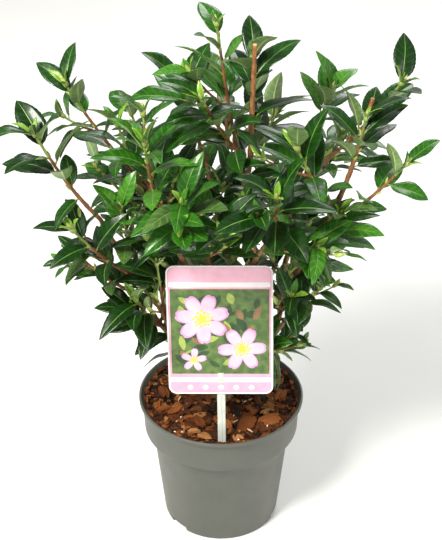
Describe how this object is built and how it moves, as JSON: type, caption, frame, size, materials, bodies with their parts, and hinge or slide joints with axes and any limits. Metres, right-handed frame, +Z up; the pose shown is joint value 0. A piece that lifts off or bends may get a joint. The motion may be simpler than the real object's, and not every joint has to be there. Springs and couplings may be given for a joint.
{
  "type": "potted camellia shrub",
  "caption": "Young evergreen camellia in a round nursery pot: short trunk, spreading boughs, masses of pointed leathery leaves, bark mulch and a plant label on a stick.",
  "frame": {"origin": "centre of the pot's flat underside", "axes": "+Z up, -Y to the front where the label stands, +X to the shrub's right as seen from the front"},
  "size_m": [0.3939, 0.3326, 0.5692],
  "materials": {
    "pot": "grey-green moulded plastic, satin",
    "potting_mix": "red-brown bark chips, rough",
    "label_stick": "white moulded plastic, satin",
    "label_card": "pink printed plastic card, glossy",
    "bark": "red-brown young bark, matt",
    "foliage": "dark green leathery leaves, glossy above and pale below"
  },
  "bodies": {
    "root": {"pot": "pot", "potting_mix": "potting_mix", "label_stick": "label_stick", "label_card": "label_card", "trunk": "bark", "bough_top": "bark", "bough_centre": "bark", "bough_front": "bark", "bough_front_right": "bark", "bough_upper_left": "bark", "bough_centre_left": "bark", "bough_far_left": "bark", "bough_low_left": "bark", "bough_right": "bark", "bough_right_back": "bark", "bough_low_right": "bark", "bough_back": "bark", "bough_back_left": "bark", "bough_back_right": "bark", "bough_low_back": "bark", "foliage_far_left": "foliage", "foliage_upper_left": "foliage", "foliage_left_high": "foliage", "foliage_top": "foliage", "foliage_top_back": "foliage", "foliage_top_side": "foliage", "foliage_centre": "foliage", "foliage_right": "foliage", "foliage_right_thin": "foliage", "foliage_right_tip": "foliage", "foliage_right_inner": "foliage", "foliage_right_back": "foliage", "foliage_right_mid": "foliage", "foliage_right_heart": "foliage", "foliage_centre_left": "foliage", "foliage_left_heart": "foliage", "foliage_left_side": "foliage", "foliage_low_left": "foliage", "foliage_left_low_heart": "foliage", "foliage_left_inner": "foliage", "foliage_left_low": "foliage", "foliage_left_skirt": "foliage", "foliage_front": "foliage", "foliage_front_low": "foliage", "foliage_front_heart": "foliage", "foliage_front_inner": "foliage", "foliage_front_right": "foliage", "foliage_front_side": "foliage", "foliage_low_right": "foliage", "foliage_right_low_heart": "foliage", "foliage_right_skirt": "foliage", "foliage_back_left": "foliage", "foliage_back_left_side": "foliage", "foliage_back": "foliage", "foliage_back_side": "foliage", "foliage_back_heart": "foliage", "foliage_back_right": "foliage", "foliage_back_skirt": "foliage", "foliage_low_back": "foliage", "foliage_right_back_skirt": "foliage"}
  },
  "joints": []
}
